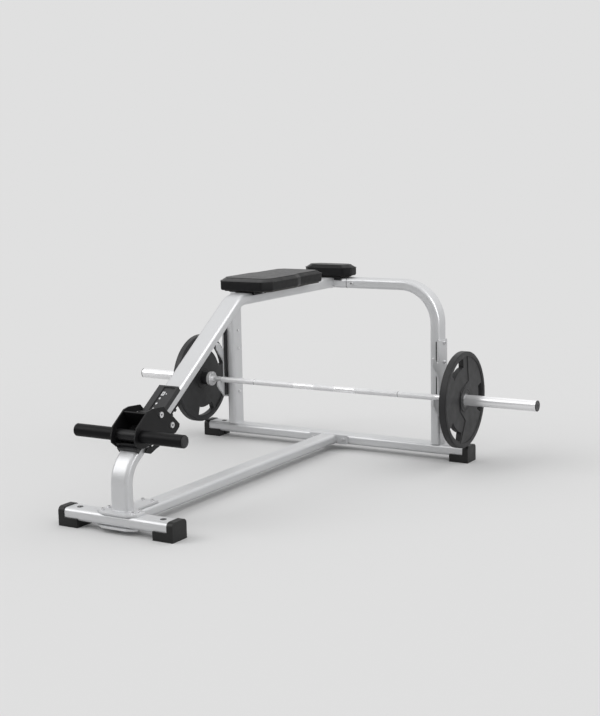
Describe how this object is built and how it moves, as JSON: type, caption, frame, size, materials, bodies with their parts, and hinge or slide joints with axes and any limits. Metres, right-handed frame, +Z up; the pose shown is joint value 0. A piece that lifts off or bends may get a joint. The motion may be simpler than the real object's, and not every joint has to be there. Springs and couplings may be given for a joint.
{
  "type": "prone row bench with loaded barbell",
  "caption": "Plate-loaded prone row bench: arched rear frame, sloping spine with chest and head pads, sliding foot bar, and a barbell with weight plates resting on hooks.",
  "frame": {"origin": "on the floor, at the middle of the machine's footprint box", "axes": "+X along the bar, to the right for a lifter lying face down; +Y from the foot end to the head end; +Z up"},
  "size_m": [2.2, 1.8781, 0.908],
  "materials": {
    "silver_paint": "satin silver powder coat",
    "bolt_zinc": "bright zinc",
    "guard_plastic": "matte black",
    "foot_rubber": "moulded black",
    "black_paint": "satin black powder coat",
    "board_ply": "black-stained plywood",
    "pad_vinyl": "charcoal vinyl",
    "grip_rubber": "smooth black",
    "bar_chrome": "hard chrome",
    "bushing_brass": "plain bearing bronze",
    "hub_steel": "black",
    "plate_coated_iron": "charcoal rubber coat over iron",
    "ring_steel": "turned steel"
  },
  "bodies": {
    "frame": {"front_crossbar": "silver_paint", "rear_crossbar": "silver_paint", "base_beam": "silver_paint", "beam_flange": "silver_paint", "beam_bolts": "bolt_zinc", "spine_tube": "silver_paint", "post_base_plate": "silver_paint", "post_clamp_plate": "silver_paint", "post_bolts": "bolt_zinc", "arch_left": "silver_paint", "arch_right": "silver_paint", "arch_tee": "silver_paint", "tee_bolts": "bolt_zinc", "hook_plate_left": "silver_paint", "hook_plate_right": "silver_paint", "hook_liner_left": "guard_plastic", "hook_liner_right": "guard_plastic", "hook_bolts": "bolt_zinc", "foot_front_left": "foot_rubber", "foot_front_right": "foot_rubber", "foot_rear_left": "foot_rubber", "foot_rear_right": "foot_rubber", "chest_saddle_front": "black_paint", "chest_saddle_rear": "black_paint", "head_saddle": "black_paint", "chest_board": "board_ply", "head_board": "board_ply", "chest_pad": "pad_vinyl", "head_pad": "pad_vinyl", "pad_screws": "bolt_zinc", "guide_rail": "guard_plastic", "rack": "black_paint", "rail_screws": "bolt_zinc"},
    "carriage": {"cheek_left": "black_paint", "cheek_right": "black_paint", "upper_bridge": "black_paint", "front_web": "black_paint", "lower_bridge": "black_paint", "foot_tube": "black_paint", "foot_spacer": "black_paint", "foot_grip_left": "grip_rubber", "foot_grip_right": "grip_rubber", "foot_end_caps": "guard_plastic", "upper_glide": "guard_plastic", "lower_glides": "guard_plastic", "cheek_bolts": "bolt_zinc"},
    "pawl": {"pawl_lever": "black_paint", "pawl_arm": "black_paint", "pawl_pin": "bolt_zinc"},
    "bar": {"bar_shaft": "bar_chrome"},
    "sleeve_left_turning": {"sleeve_left": "bar_chrome", "bushings_left": "bushing_brass", "sleeve_end_left": "hub_steel"},
    "sleeve_right_turning": {"sleeve_right": "bar_chrome", "bushings_right": "bushing_brass", "sleeve_end_right": "hub_steel"},
    "weight_left": {"plate_left": "plate_coated_iron", "plate_ring_left": "ring_steel"},
    "weight_right": {"plate_right": "plate_coated_iron", "plate_ring_right": "ring_steel"}
  },
  "joints": [
    {"name": "carriage_slide", "type": "slide", "parent": "frame", "child": "carriage", "axis": [0, 0.8181, 0.575], "range_m": [0, 0.15]},
    {"name": "pawl_hinge", "type": "hinge", "parent": "carriage", "child": "pawl", "pos_m": [0, -0.62311, 0.37989], "axis": [-1, 0, 0], "range_deg": [0, 11.5]},
    {"name": "bar_lift", "type": "slide", "parent": "frame", "child": "bar", "axis": [0, -0.5, 0.866], "range_m": [0, 0.3]},
    {"name": "left_sleeve_spin", "type": "hinge", "parent": "bar", "child": "sleeve_left_turning", "pos_m": [0, 0.71325, 0.308], "axis": [1, 0, 0], "continuous": true},
    {"name": "right_sleeve_spin", "type": "hinge", "parent": "bar", "child": "sleeve_right_turning", "pos_m": [0, 0.71325, 0.308], "axis": [1, 0, 0], "continuous": true},
    {"name": "left_plate_off", "type": "slide", "parent": "sleeve_left_turning", "child": "weight_left", "axis": [-1, 0, 0], "range_m": [0, 0.4]},
    {"name": "right_plate_off", "type": "slide", "parent": "sleeve_right_turning", "child": "weight_right", "axis": [1, 0, 0], "range_m": [0, 0.4]}
  ]
}
